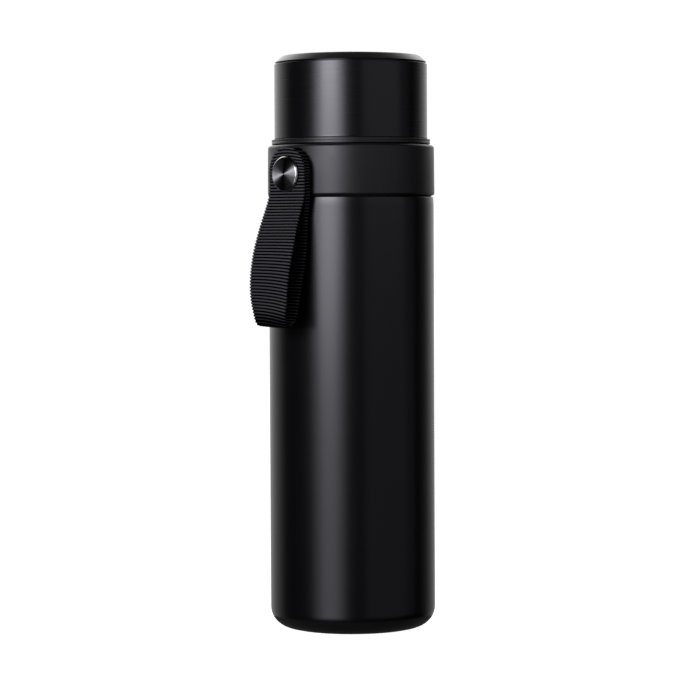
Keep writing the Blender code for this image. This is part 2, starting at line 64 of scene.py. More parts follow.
SHARP_ANGLE = math.radians(38)
TOLERANCE = 1e-6

# Steel bottle
SHELL_WALL = 0.0006
BASE_FILLET = 0.0085
BASE_OPENING_RADIUS = 0.0263
SHOULDER_TOP = 0.1823
SHOULDER_ROUND = 0.0004
SHOULDER_LEAD = 0.0030
SHOULDER_LEAD_IN = 0.0002
SHOULDER_LEAD_ROUND = 0.0240
NECK_RADIUS = 0.0270
RIM_ROUND = 0.0002
VESSEL_FILLET = 0.0080
VESSEL_SHOULDER_LOW = 0.1700
VESSEL_SHOULDER_HIGH = 0.1780
VESSEL_SHOULDER_ROUND = 0.0060
VESSEL_NECK_RADIUS = 0.0257
SEAL_HOLE_RADIUS = 0.0025
SEAL_STEM_RADIUS = 0.0022
SEAL_HEAD_HEIGHT = 0.0008
FOIL_THICKNESS = 0.00025
EDGE_ROUND = 0.0003

# Mouthpiece
BORE_RADIUS = 0.0240
LIP_RADIUS = 0.0247
LIP_BOTTOM = 0.1955
SKIRT_INNER_RADIUS = 0.0284
SKIRT_OUTER_RADIUS = 0.0302
DECK_UNDERSIDE = 0.1992
DECK_FLANGE_UNDERSIDE = 0.1998
DECK_TOP = 0.2020
SPOUT_RADIUS = 0.0270
SPOUT_ROUND = 0.0012
SPOUT_OUTER_ROUND = 0.00114
SPOUT_ROOT_ROUND = 0.0006

# Collar ring
COLLAR_INNER_RADIUS = 0.0332
COLLAR_HIGH_RADIUS = 0.03515
COLLAR_BOTTOM = 0.1829
COLLAR_SKIRT_BOTTOM = 0.1824
COLLAR_SKIRT_RADIUS = 0.0338
COLLAR_SKIRT_TOP_RADIUS = 0.0343
COLLAR_LOW_ROUND = 0.0010
COLLAR_TOP_ROUND = 0.0013
COLLAR_MOUTH_RADIUS = 0.0293
COLLAR_FLANGE_UNDERSIDE = 0.2023
COLLAR_GASKET_INNER_RADIUS = 0.0250
SPOTFACE_RADIUS = 0.0064
SPOTFACE_DISTANCE = 0.0347
INSERT_BORE_RADIUS = 0.0029
BORE_NEAR = 0.0302
CUTTER_FAR = 0.0395
BOSS_NEAR = 0.0307
BOSS_FAR = 0.0340
BOSS_WIDTH = 0.0090

# Pivot screw, and the rings that it holds
INSERT_HOLE_RADIUS = 0.0018
WASHER_HOLE_RADIUS = 0.0027
BUSH_HOLE_RADIUS = 0.0018
SHANK_RADIUS = 0.0015
HEAD_NEAR = 0.0389
HEAD_BEVEL = 0.0005
HEAD_EDGE_ROUND = 0.00028

# Lid
LID_GASKET_INNER_RADIUS = 0.0238
LINER_INNER_RADIUS = 0.0286
LINER_OUTER_RADIUS = 0.0306
LINER_STEP_RADIUS = 0.0314
LINER_STEP_TOP = 0.2092
LINER_CEILING = 0.2196
FLANGE_TOP = 0.2066
FLANGE_ROUND = 0.00015
FLANGE_GROOVE_DEPTH = 0.0001
FLANGE_GROOVE_HALF_HEIGHT = 0.00015
PLUG_OUTER_RADIUS = 0.0234
PLUG_INNER_RADIUS = 0.0222
PLUG_BOTTOM = 0.2150
PLUG_ROUND = 0.0005
SLEEVE_TOP = 0.2384
SLEEVE_LIP_RADIUS = 0.0311
SLEEVE_LOW_ROUND = 0.0002
SLEEVE_TOP_ROUND = 0.0002
SLEEVE_FLARE = 0.00006
SLEEVE_FLARE_HEIGHT = 0.0008
CAP_RIM_BOTTOM = 0.2392
CAP_TOP_RADIUS = 0.0289
CAP_TOP_ROUND = 0.0016
CAP_RIM_ROUND = 0.00003
CAP_CEILING = 0.2396
CAP_PLUG_OUTER = 0.0308
CAP_PLUG_INNER = 0.0288
CAP_GROOVE_RADIUS = 0.0294
CAP_GROOVE_BOTTOM = 0.2374

# Threads: wall radius, crest radius, height of the first turn, lead, turns, starts, widths
NECK_THREAD = (0.0270, 0.0280, 0.1870, 0.0040, 1.25, 1, (0.0016, 0.0009))
SKIRT_THREAD = (0.0284, 0.0274, 0.1850, 0.0040, 1.25, 1, (0.0016, 0.0009))
SPOUT_THREAD = (0.0270, 0.0282, 0.2080, 0.0090, 0.45, 3, (0.0013, 0.0007))
LINER_THREAD = (0.0286, 0.0274, 0.2065, 0.0090, 0.45, 3, (0.0013, 0.0007))
THREAD_TAPER_TURNS = 0.05

# Webbing loop: its middle line in points (distance from the bottle's axis, height), as in the CAD
WEBBING_WIDTH = 0.0210
WEBBING_THICKNESS = 0.0012
WEBBING_HOLE_RADIUS = 0.0028
OUTER_LAYER_DISTANCE = 0.0380
INNER_LAYER_DISTANCE = 0.0365
OUTER_TOP = (OUTER_LAYER_DISTANCE, 0.1850)
BULGE = (0.0492, 0.1420)
FOLD = (0.0460, 0.1289)
FOLD_BACK = (0.0411, 0.1350)
INNER_TOP = (INNER_LAYER_DISTANCE, 0.1725)
WEBBING_CURVES = (
    (OUTER_TOP, (OUTER_LAYER_DISTANCE, 0.1775), (BULGE[0], 0.1620), BULGE),
    (BULGE, (BULGE[0], 0.1340), (0.0489, FOLD[1]), FOLD),
    (FOLD, (0.0432, FOLD[1]), (0.0416, 0.1310), FOLD_BACK),
    (FOLD_BACK, (0.0399, 0.1446), (INNER_LAYER_DISTANCE, 0.1575), INNER_TOP),
)
# How far one edge stands out beyond the other, as a slope: points (height, slope) of each layer
OUTER_TWIST = (
    (0.128, -0.14), (0.133, -0.12), (0.1395, 0.02), (0.150, 0.085), (0.160, 0.110),
    (0.168, 0.060), (0.174, 0.030), (0.183, 0.0),
)
INNER_TWIST = ((0.128, -0.19), (0.134, -0.16), (0.145, -0.08), (0.155, -0.03), (0.165, 0.0))
TWIST_SMOOTHING = 0.004
FOLD_LENGTH = 0.012
CURVE_SAMPLES = 200
# How far each layer's edges bend towards the bottle, at full strength above the second height
OUTER_EDGE_DROP = 0.0006
INNER_EDGE_DROP = 0.0005
DROP_HEIGHTS = (0.1680, 0.1830)
# How steeply the fold tilts across the strip, at full strength below the second height
FOLD_TILT = 0.03
TILT_HEIGHTS = (0.1500, 0.1300)
# How far each layer lies to one side of the screw, at full strength above the second height
OUTER_SHIFT = 0.0008
OUTER_SHIFT_HEIGHTS = (0.1580, 0.1820)
INNER_SHIFT = -0.0012
INNER_SHIFT_HEIGHTS = (0.1710, 0.1850)

# Webbing weave: ribs across the strip, and finer yarns that run over them lengthwise
RIB_PITCH = 0.00132
RIB_SAMPLES = 10
RIB_DEPTH = 0.00036
RIB_SHAPE = 0.9
YARN_PITCH = 0.00080
EDGE_SCALLOP = 0.0007
SCALLOP_SHARPNESS = 9
EDGE_RADIUS = 0.00055
EDGE_SAMPLES = (0.0, 0.00004, 0.00012, 0.00024, 0.0004, 0.00055, 0.0008, 0.0011, 0.0013, 0.0015)
SELVEDGE_GROOVE = 0.0013
SELVEDGE_GROOVE_DEPTH = 0.00010
SELVEDGE_GROOVE_WIDTH = 0.00025
MIDDLE_SAMPLES = 10
# The ribs bow at the strip's two tips, and bow and slant on the outer layer low down
TIP_START = 0.00012
TIP_DROOP = 0.0016
TIP_DROOP_LENGTH = 0.0140
RIB_SLANT = 0.06
RIB_BOW = 0.0005
SLANT_HEIGHTS = (0.1700, 0.1400)
# Painted shade darkens the outer layer towards the fold: none above the first height, full below the
# second
FOLD_SHADE_HEIGHTS = (0.1370, 0.1300)

# Satin paint over brushed steel: how strongly the brushing shows, for each painted finish
PAINT_STREAKS = {"satin_black_paint": 0.2, "satin_black_paint_brushed": 0.45}
PAINT_COLOUR = (0.0028, 0.0028, 0.0032)
PAINT_COLOUR_SPREAD = 0.0002
PAINT_ROUGHNESS = 0.26
PAINT_ROUGHNESS_SPREAD = 0.04
PAINT_MOTTLE = 60
PAINT_BRUSHING = (14, 14, 1700)
PAINT_BRUSHING_BUMP = 0.25
PAINT_BRUSHING_DEPTH = 0.00004
PAINT_GRAIN = 1500
PAINT_GRAIN_BUMP = 0.06
PAINT_GRAIN_DEPTH = 0.00003

# Moulded plastics: colour, roughness, grain in cells a metre, specular level
PLASTICS = {
    "matte_black_plastic": ((0.0080, 0.0077, 0.0077), 0.40, 2600, 0.42),
    "matte_black_plastic_cap": ((0.0085, 0.0082, 0.0082), 0.32, 2600, 0.40),
    "black_polypropylene": ((0.0100, 0.0098, 0.0098), 0.36, 1400, 0.50),
}
PLASTIC_ROUGHNESS_SPREAD = 0.04
PLASTIC_LIGHTER = 1.2
PLASTIC_SHEEN_PATCHES = 80
PLASTIC_COLOUR_PATCHES = 45
PLASTIC_BUMP = 0.30
PLASTIC_DEPTH = 0.00004

# Plain metals and soft solids: colour, roughness, grain in cells a metre, depth of the grain
METALS = {
    "copper_foil": ((0.80, 0.42, 0.28), 0.25, 250, 0.0002),
    "getter_metal": ((0.35, 0.35, 0.36), 0.60, 3000, 0.0001),
    "brass": ((0.75, 0.58, 0.28), 0.30, 900, 0.00003),
}
METAL_ROUGHNESS_SPREAD = 0.06
METAL_BUMP = 0.3
SOFT_SOLIDS = {
    "sealing_glass": ((0.10, 0.14, 0.12), 0.14, 300, 0.00002),
    "black_rubber": ((0.012, 0.012, 0.012), 0.75, 1800, 0.00006),
    "white_silicone": ((0.72, 0.72, 0.70), 0.42, 600, 0.00003),
    "white_nylon": ((0.70, 0.70, 0.68), 0.45, 900, 0.00003),
    "white_foam": ((0.85, 0.85, 0.83), 0.90, 700, 0.0003),
}
SOLID_ROUGHNESS_SPREAD = 0.05
SOLID_BUMP = 0.4
SILICONE_SUBSURFACE = 0.25

# Bare drawn steel, and the screw head's spun face with its polished bevel
STEEL_COLOUR = (0.60, 0.60, 0.59)
STEEL_ROUGHNESS = 0.28
STEEL_ROUGHNESS_SPREAD = 0.08
STEEL_LINES = (12, 12, 2600)
STEEL_BUMP = 0.15
STEEL_DEPTH = 0.00003
SPUN_COLOUR = (0.27, 0.27, 0.27)
SPUN_ROUGHNESS = 0.40
BEVEL_COLOUR = (0.60, 0.60, 0.60)
BEVEL_ROUGHNESS = 0.22
BEVEL_START = 0.0067
BEVEL_END = 0.0068

# Webbing cloth: light ribs and furrows darkened by painted shade, with fuzz from fine strands
CLOTH_COLOUR = (0.02, 0.02, 0.02)
CLOTH_ROUGHNESS = 0.60
# Painted shade in the furrows between the ribs: its colour, and the level below which it is full
FURROW_SHADE_COLOUR = (0.0003, 0.0003, 0.0003)
FURROW_SHADE_LEVEL = 0.68
RIB_COLOUR = (0.036, 0.0365, 0.040)
RIB_SPECULAR = 0.45
SPECULAR_LEVELS = (0.7, 1.15)
STRAND_GRAIN = 3800
STRAND_SHARE = 0.30
# How far painted shade darkens the strip on its inner layer and near the fold
PAINTED_SHADE_STRENGTH = 0.34
YARN_BUMP = 0.45
YARN_DEPTH = 0.00009
STRAND_BUMP = 0.30
STRAND_DEPTH = 0.00004

# The part of a noise texture's range that holds most of its values
NOISE_LOW = 0.3
NOISE_HIGH = 0.7
BLACK = (0.0, 0.0, 0.0)
WHITE = (1.0, 1.0, 1.0)

# Camera
CAMERA_AZIMUTH = math.radians(-46)
CAMERA_DISTANCE = 1.123
CAMERA_HEIGHT = 0.167
CAMERA_PITCH = math.radians(-2.525)
CAMERA_YAW = math.radians(-0.041)
CAMERA_ROLL = math.radians(-0.275)
SENSOR_WIDTH = 36.0
LENS = 135.93

# Studio: a floor and a backdrop that only the camera sees, and a disc that only reflections see
STUDIO_RADIUS = 6.0
STUDIO_SEGMENTS = 96
FLOOR_GLOW = 0.97
FLOOR_DIFFUSE = 0.6
BACKDROP_GLOW = 1.02
SHADE_RADIUS = 0.0415
SHADE_DEPTH = 0.0005
SHADE_GLOW = 0.07
BACKLIGHT_AZIMUTH = CAMERA_AZIMUTH + math.radians(7)
# The backlight starts where a direction is this near to straight away from the camera, 1 being it
BACKLIGHT_START = 0.43
# How the backlight's strength rises with height: height of a direction from, to, strength from, to
BACKLIGHT_RISES = ((-0.15, 0.08, 0.56, 1.30), (0.10, 0.50, 0.0, 2.6), (-0.60, -0.25, -0.50, 0.0))
SOFTBOX_COLOUR = (1.02, 1.0, 1.11)
# Soft boxes: degrees round from the camera, distance, lower and upper edge, width, radiance
SOFTBOXES = {
    "key_top": (-32.5, 1.0, 0.36, 0.62, 0.425, 39.0),
    "key_middle": (-32.5, 1.0, 0.085, 0.36, 0.425, 17.8),
    "key_low": (-32.5, 1.0, -0.45, 0.085, 0.425, 4.5),
    "key_far_top": (-50.0, 1.0, 0.12, 0.62, 0.17, 8.0),
    "key_far_low": (-50.0, 1.0, -0.45, 0.12, 0.17, 1.7),
    "feather_top": (-15.8, 1.0, 0.12, 0.62, 0.17, 11.0),
    "feather_low": (-15.8, 1.0, -0.45, 0.12, 0.17, 2.2),
    "fill_top": (47, 1.2, 0.18, 0.80, 1.38, 1.05),
    "fill_low": (47, 1.2, -0.45, 0.18, 1.38, 0.48),
    "fill_side": (85, 1.2, -0.30, 0.80, 0.45, 0.30),
    "fill_back": (122, 1.2, -0.30, 0.80, 0.55, 0.14),
}

BODY_OF = {
    node: body
    for body, nodes in frame["record"]["behaviour"]["bodies"].items()
    for node in nodes
}


def radius_of(node):
    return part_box(node)[1].x


def bottom_of(node):
    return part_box(node)[0].z


def top_of(node):
    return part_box(node)[1].z


def screw_span(node):
    """(nearest, farthest, radius) of a node that is turned about the pivot screw."""
    low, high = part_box(node)
    return -high.x, -low.x, (high.z - low.z) / 2


SCREW_HEIGHT = (bottom_of("strap_screw") + top_of("strap_screw")) / 2


# ---------------------------------------------------------------- meshes


def corner_points(before, corner, after, rounding):
    """The points that round one corner of an outline, or the corner itself where it is sharp."""
    if rounding == 0:
        return [corner]
    to_before = (before - corner).normalized()
    to_after = (after - corner).normalized()
    half_angle = to_before.angle(to_after) / 2
    start = corner + to_before * (rounding / math.tan(half_angle))
    centre = corner + (to_before + to_after).normalized() * (rounding / math.sin(half_angle))
    sweep = (math.pi - 2 * half_angle) * math.copysign(1, to_before.cross(to_after))
    steps = max(3, round(abs(sweep) / ARC_STEP))
    spoke = start - centre
    return [centre + Matrix.Rotation(-sweep * step / steps, 2) @ spoke for step in range(steps + 1)]


def rounded_outline(corners):
    """A closed outline of (radius, height) points from corners (radius, height[, rounding])."""
    places = [Vector(corner[:2]) for corner in corners]
    outline = []
    for index, corner in enumerate(corners):
        rounding = corner[2] if len(corner) > 2 else 0
        after = places[(index + 1) % len(places)]
        outline += corner_points(places[index - 1], places[index], after, rounding)
    return outline


def thread_wall(thread, low, high):
    """Closely spaced corners up (or down) a threaded wall, from low to high."""
    count = round(abs(high - low) / THREAD_STEP)
    return [(thread[0], low + (high - low) * step / count) for step in range(count + 1)]


def thread_rise(thread, radius, height, angles):
    """How much further a right-hand thread stands out at these angles, on its own wall."""
    wall, crest, first, lead, turns, starts, (root_width, crest_width) = thread
    rise = np.zeros(len(angles))
    if abs(radius - wall) > TOLERANCE:
        return rise
    for start in range(starts):
        for whole in range(math.ceil(turns) + 1):
            turn = (angles / (2 * math.pi) - start / starts) % 1 + whole
            away = np.abs(height - (first + lead * turn))
            flank = (root_width - crest_width) / 2
            side = np.clip((root_width / 2 - away) / flank, 0, 1)
            ends = np.clip(np.minimum(turn, turns - turn) / THREAD_TAPER_TURNS, 0, 1)
            rise = np.maximum(rise, side * side * (3 - 2 * side) * ends)
    return rise * (crest - wall)


def mesh_object(name, bm):
    bmesh.ops.recalc_face_normals(bm, faces=bm.faces)
    mesh = bpy.data.meshes.new(name)
    bm.to_mesh(mesh)
    bm.free()
    mesh.shade_smooth()
    mesh.set_sharp_from_angle(angle=SHARP_ANGLE)
    obj = bpy.data.objects.new(name, mesh)
    bpy.context.scene.collection.objects.link(obj)
    return obj


def turned(name, corners, segments=ROUND_SEGMENTS, threads=()):
    """A closed mesh turned about Z from the outline of its section."""
    angles = np.arange(segments) * 2 * math.pi / segments
    bm = bmesh.new()
    rings = []
    for point in rounded_outline(corners):
        radius, height = point
        if radius < TOLERANCE:
            rings.append([bm.verts.new((0, 0, height))] * segments)
            continue
        radii = np.full(segments, radius)
        for thread in threads:
            radii += thread_rise(thread, radius, height, angles)
        places = zip(radii * np.cos(angles), radii * np.sin(angles))
        rings.append([bm.verts.new((x, y, height)) for x, y in places])
    for ring, following in zip(rings, rings[1:] + rings[:1]):
        for index in range(segments):
            after = (index + 1) % segments
            corners_here = (ring[index], ring[after], following[after], following[index])
            distinct = list(dict.fromkeys(corners_here))
            if len(distinct) > 2:
                bm.faces.new(distinct)
    return mesh_object(name, bm)


def turned_on_screw(name, corners):
    """A piece turned about the pivot screw: its local Z runs outwards, along -X."""
    obj = turned(name, corners, SCREW_SEGMENTS)
    to_screw = Matrix.Translation((0, 0, SCREW_HEIGHT)) @ Matrix.Rotation(-math.pi / 2, 4, "Y")
    obj.data.transform(to_screw)
    return obj


def tube_corners(inner_radius, outer_radius, low, high, rounding=0.0):
    return [
        (inner_radius, low, rounding),
        (outer_radius, low, rounding),
        (outer_radius, high, rounding),
        (inner_radius, high, rounding),
    ]


def disc_corners(radius, low, high, rounding=0.0):
    return [(0, low), (radius, low, rounding), (radius, high, rounding), (0, high)]


def combine(obj, tool, operation):
    """Joins tool, a helper mesh, to obj, or cuts it out of obj."""
    modifier = obj.modifiers.new("combine", "BOOLEAN")
    modifier.operation = operation
    modifier.object = tool
    bpy.context.view_layer.update()
    graph = bpy.context.evaluated_depsgraph_get()
    obj.data = bpy.data.meshes.new_from_object(obj.evaluated_get(graph))
    obj.modifiers.clear()
    bpy.data.objects.remove(tool)


def stand_for(obj, node, finish):
    """obj shows in place of a CAD node, on its body and in its material slot."""
    obj.data.materials.clear()
    obj.data.materials.append(finish)
    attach(obj, BODY_OF[node])
    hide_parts(node)


def fine(node, corners, finish, threads=()):
    """A fine turned mesh in place of a CAD node that stands round the bottle's axis."""
    stand_for(turned("fine_" + node, corners, threads=threads), node, finish)


def fine_on_screw(node, corners, finish):
    """A fine turned mesh in place of a CAD node that is turned about the pivot screw."""
    stand_for(turned_on_screw("fine_" + node, corners), node, finish)


# ---------------------------------------------------------------- materials


def new_material(name, colour, roughness, metallic=0.0, **sockets):
    """(material, node tree, Principled shader), with constant values set on the shader."""
    made = bpy.data.materials.new(name)
    made.use_nodes = True
    tree = made.node_tree
    shader = tree.nodes["Principled BSDF"]
    shader.inputs["Base Color"].default_value = (*colour, 1.0)
    shader.inputs["Roughness"].default_value = roughness
    shader.inputs["Metallic"].default_value = metallic
    for socket, value in sockets.items():
        shader.inputs[socket.replace("_", " ")].default_value = value
    return made, tree, shader


def noise(tree, scale, detail=3.0, roughness=0.5):
    """Noise over the object's own coordinates. scale is cells a metre, one for all axes or three."""
    coordinates = tree.nodes.new("ShaderNodeTexCoord")
    mapping = tree.nodes.new("ShaderNodeMapping")
    mapping.inputs["Scale"].default_value = scale if isinstance(scale, tuple) else (scale,) * 3
    texture = tree.nodes.new("ShaderNodeTexNoise")
    texture.inputs["Scale"].default_value = 1.0
    texture.inputs["Detail"].default_value = detail
    texture.inputs["Roughness"].default_value = roughness
    tree.links.new(coordinates.outputs["Object"], mapping.inputs["Vector"])
    tree.links.new(mapping.outputs["Vector"], texture.inputs["Vector"])
    return texture.outputs["Fac"]


def mapped(tree, value, from_low, from_high, to_low, to_high):
    """value carried from one range to another, and kept inside it."""
    node = tree.nodes.new("ShaderNodeMapRange")
    node.inputs["From Min"].default_value = from_low
    node.inputs["From Max"].default_value = from_high
    node.inputs["To Min"].default_value = to_low
    node.inputs["To Max"].default_value = to_high
    tree.links.new(value, node.inputs["Value"])
    return node.outputs["Result"]


def two_tone(tree, value, low, high, dark, light):
    """A colour that goes from dark, where value is low, to light, where it is high."""
    ramp = tree.nodes.new("ShaderNodeValToRGB")
    for element, position, colour in zip(ramp.color_ramp.elements, (low, high), (dark, light)):
        element.position = position
        element.color = (*colour, 1.0)
    tree.links.new(value, ramp.inputs["Fac"])
    return ramp.outputs["Color"]


def vary_roughness(tree, shader, cells, middle, spread):
    """Roughness that follows noise, to either side of its middle value."""
    varied = mapped(tree, cells, NOISE_LOW, NOISE_HIGH, middle - spread, middle + spread)
    tree.links.new(varied, shader.inputs["Roughness"])


def vary_colour(tree, shader, cells, dark, light):
    """A base colour that follows noise, from dark to light."""
    varied = two_tone(tree, cells, NOISE_LOW, NOISE_HIGH, dark, light)
    tree.links.new(varied, shader.inputs["Base Color"])


def bumps(tree, shader, *layers):
    """Layers of (height, strength, depth in metres), one on the other, on the shader's normal."""
    below = None
    for height, strength, depth in layers:
        bump = tree.nodes.new("ShaderNodeBump")
        bump.inputs["Strength"].default_value = strength
        bump.inputs["Distance"].default_value = depth
        tree.links.new(height, bump.inputs["Height"])
        if below:
            tree.links.new(below, bump.inputs["Normal"])
        below = bump.outputs["Normal"]
    tree.links.new(below, shader.inputs["Normal"])


def satin_paint(name):
    """Satin black paint, through which the brushing of the steel shows."""
    made, tree, shader = new_material(name, PAINT_COLOUR, PAINT_ROUGHNESS)
    streaks = PAINT_STREAKS[name]
    brushing = noise(tree, PAINT_BRUSHING, detail=4.0, roughness=0.7)
    vary_roughness(tree, shader, brushing, PAINT_ROUGHNESS, PAINT_ROUGHNESS_SPREAD * streaks)
    darker = tuple(channel - PAINT_COLOUR_SPREAD for channel in PAINT_COLOUR)
    lighter = tuple(channel + PAINT_COLOUR_SPREAD for channel in PAINT_COLOUR)
    vary_colour(tree, shader, noise(tree, PAINT_MOTTLE), darker, lighter)
    grain = noise(tree, PAINT_GRAIN, detail=2.0)
    bumps(
        tree,
        shader,
        (brushing, PAINT_BRUSHING_BUMP * streaks, PAINT_BRUSHING_DEPTH),
        (grain, PAINT_GRAIN_BUMP, PAINT_GRAIN_DEPTH),
    )
    return made


def moulded_plastic(name):
    """Moulded plastic with a fine matte grain."""
    colour, roughness, grain, specular = PLASTICS[name]
    made, tree, shader = new_material(name, colour, roughness, Specular_IOR_Level=specular)
    patches = noise(tree, PLASTIC_SHEEN_PATCHES)
    vary_roughness(tree, shader, patches, roughness, PLASTIC_ROUGHNESS_SPREAD)
    lighter = tuple(channel * PLASTIC_LIGHTER for channel in colour)
    vary_colour(tree, shader, noise(tree, PLASTIC_COLOUR_PATCHES), colour, lighter)
    bumps(tree, shader, (noise(tree, grain, detail=2.0), PLASTIC_BUMP, PLASTIC_DEPTH))
    return made


def drawn_steel(name):
    """Bare stainless steel with the fine circular lines of spinning."""
    made, tree, shader = new_material(name, STEEL_COLOUR, STEEL_ROUGHNESS, metallic=1.0)
    lines = noise(tree, STEEL_LINES, detail=4.0)
    vary_roughness(tree, shader, lines, STEEL_ROUGHNESS, STEEL_ROUGHNESS_SPREAD)
    bumps(tree, shader, (lines, STEEL_BUMP, STEEL_DEPTH))
    return made


def distance_from_screw_axis(tree):
    coordinates = tree.nodes.new("ShaderNodeTexCoord")
    across = tree.nodes.new("ShaderNodeVectorMath")
    across.operation = "MULTIPLY_ADD"
    across.inputs[1].default_value = (0.0, 1.0, 1.0)
    across.inputs[2].default_value = (0.0, 0.0, -SCREW_HEIGHT)
    tree.links.new(coordinates.outputs["Object"], across.inputs[0])
    length = tree.nodes.new("ShaderNodeVectorMath")
    length.operation = "LENGTH"
    tree.links.new(across.outputs["Vector"], length.inputs[0])
    return length.outputs["Value"]


def spun_steel(name):
    """Dark steel turned on a lathe: its circular lines spread a highlight into two wedges. The
    bevel round it is polished."""
    made, tree, shader = new_material(
        name,
        SPUN_COLOUR,
        SPUN_ROUGHNESS,
        metallic=1.0,
        Anisotropic=1.0,
        Anisotropic_Rotation=0.25,
    )
    tangent = tree.nodes.new("ShaderNodeTangent")
    tangent.direction_type = "RADIAL"
    tangent.axis = "X"
    tree.links.new(tangent.outputs["Tangent"], shader.inputs["Tangent"])
    on_bevel = mapped(tree, distance_from_screw_axis(tree), BEVEL_START, BEVEL_END, 0.0, 1.0)
    roughness = mapped(tree, on_bevel, 0.0, 1.0, SPUN_ROUGHNESS, BEVEL_ROUGHNESS)
    tree.links.new(roughness, shader.inputs["Roughness"])
    colour = two_tone(tree, on_bevel, 0.0, 1.0, SPUN_COLOUR, BEVEL_COLOUR)
    tree.links.new(colour, shader.inputs["Base Color"])
    return made


def grained(name, finish, metallic, spread, strength, **sockets):
    """One colour with a fine grain. finish is a row of METALS or SOFT_SOLIDS."""
    colour, roughness, grain, depth = finish
    made, tree, shader = new_material(name, colour, roughness, metallic, **sockets)
    cells = noise(tree, grain)
    vary_roughness(tree, shader, cells, roughness, spread)
    bumps(tree, shader, (cells, strength, depth))
    return made


def plain_metal(name):
    return grained(name, METALS[name], 1.0, METAL_ROUGHNESS_SPREAD, METAL_BUMP)


def soft_solid(name, **sockets):
    """Rubber, silicone, nylon, foam or sealing glass."""
    finish = SOFT_SOLIDS[name]
    return grained(name, finish, 0.0, SOLID_ROUGHNESS_SPREAD, SOLID_BUMP, **sockets)


def math_node(tree, operation, first, second=0.0):
    node = tree.nodes.new("ShaderNodeMath")
    node.operation = operation
    for socket, value in zip(node.inputs, (first, second)):
        if isinstance(value, float):
            socket.default_value = value
        else:
            tree.links.new(value, socket)
    return node.outputs["Value"]


def humps(tree, count):
    """A hump that goes from 0 to 1 and back between each two whole values of count."""
    turn = math_node(tree, "MULTIPLY", count, math.pi)
    return math_node(tree, "ABSOLUTE", math_node(tree, "SINE", turn))


def map_parts(tree, name):
    """The X and Y outputs of one of the mesh's UV maps."""
    coordinates = tree.nodes.new("ShaderNodeUVMap")
    coordinates.uv_map = name
    parts = tree.nodes.new("ShaderNodeSeparateXYZ")
    tree.links.new(coordinates.outputs["UV"], parts.inputs["Vector"])
    return parts.outputs


def webbing_cloth(name):
    """Ribbed black webbing. The weave map counts yarns across the strip and ribs along it, and a
    yarn that is up on one rib is down on the next. Painted shade darkens the furrows between ribs
    and lowers their specular level, and does the same on the inner layer and near the fold, where
    the unshaded map falls to 0."""
    made, tree, shader = new_material(name, CLOTH_COLOUR, CLOTH_ROUGHNESS)
    weave = map_parts(tree, "weave")
    rib = math_node(tree, "FLOOR", weave["Y"])
    half_yarn = math_node(tree, "MULTIPLY", math_node(tree, "MODULO", rib, 2.0), 0.5)
    yarn = humps(tree, math_node(tree, "ADD", weave["X"], half_yarn))
    strands = noise(tree, STRAND_GRAIN, detail=2.0)
    fuzz = math_node(tree, "MULTIPLY", strands, STRAND_SHARE)
    # Painted shade: where the unshaded map is 0, on the inner layer and near the fold, the colour
    # darkens
    negative_shade = math_node(tree, "SUBTRACT", map_parts(tree, "lustre")["X"], 1.0)
    shade_darkening = math_node(tree, "MULTIPLY", negative_shade, PAINTED_SHADE_STRENGTH)
    level = math_node(tree, "ADD", math_node(tree, "ADD", humps(tree, weave["Y"]), fuzz), shade_darkening)
    # Painted shade: the furrows, the inner layer and the fold get a darker colour and a lower specular
    # level
    colour = two_tone(tree, level, FURROW_SHADE_LEVEL, 1.0, FURROW_SHADE_COLOUR, RIB_COLOUR)
    tree.links.new(colour, shader.inputs["Base Color"])
    specular = mapped(tree, level, *SPECULAR_LEVELS, 0.0, RIB_SPECULAR)
    tree.links.new(specular, shader.inputs["Specular IOR Level"])
    bumps(tree, shader, (yarn, YARN_BUMP, YARN_DEPTH), (strands, STRAND_BUMP, STRAND_DEPTH))
    return made


# ---------------------------------------------------------------- steel bottle


def make_outer_shell(paint):
    body = radius_of("outer_shell")
    neck_top = top_of("outer_shell")
    inside = body - SHELL_WALL
    fine(
        "outer_shell",
        [
            (BASE_OPENING_RADIUS, 0, RIM_ROUND),
            (body, 0, BASE_FILLET),
            (body, SHOULDER_TOP - SHOULDER_LEAD, SHOULDER_LEAD_ROUND),
            (body - SHOULDER_LEAD_IN, SHOULDER_TOP, SHOULDER_ROUND),
            (NECK_RADIUS, SHOULDER_TOP, EDGE_ROUND),
            *thread_wall(NECK_THREAD, SHOULDER_TOP + 2 * EDGE_ROUND, neck_top - RIM_ROUND),
            (NECK_RADIUS - RIM_ROUND, neck_top),
            (NECK_RADIUS - SHELL_WALL, neck_top),
            (NECK_RADIUS - SHELL_WALL, SHOULDER_TOP - SHELL_WALL),
            (inside, SHOULDER_TOP - SHELL_WALL),
            (inside, SHELL_WALL, BASE_FILLET - SHELL_WALL),
            (BASE_OPENING_RADIUS, SHELL_WALL, RIM_ROUND),
        ],
        paint,
        threads=(NECK_THREAD,),
    )


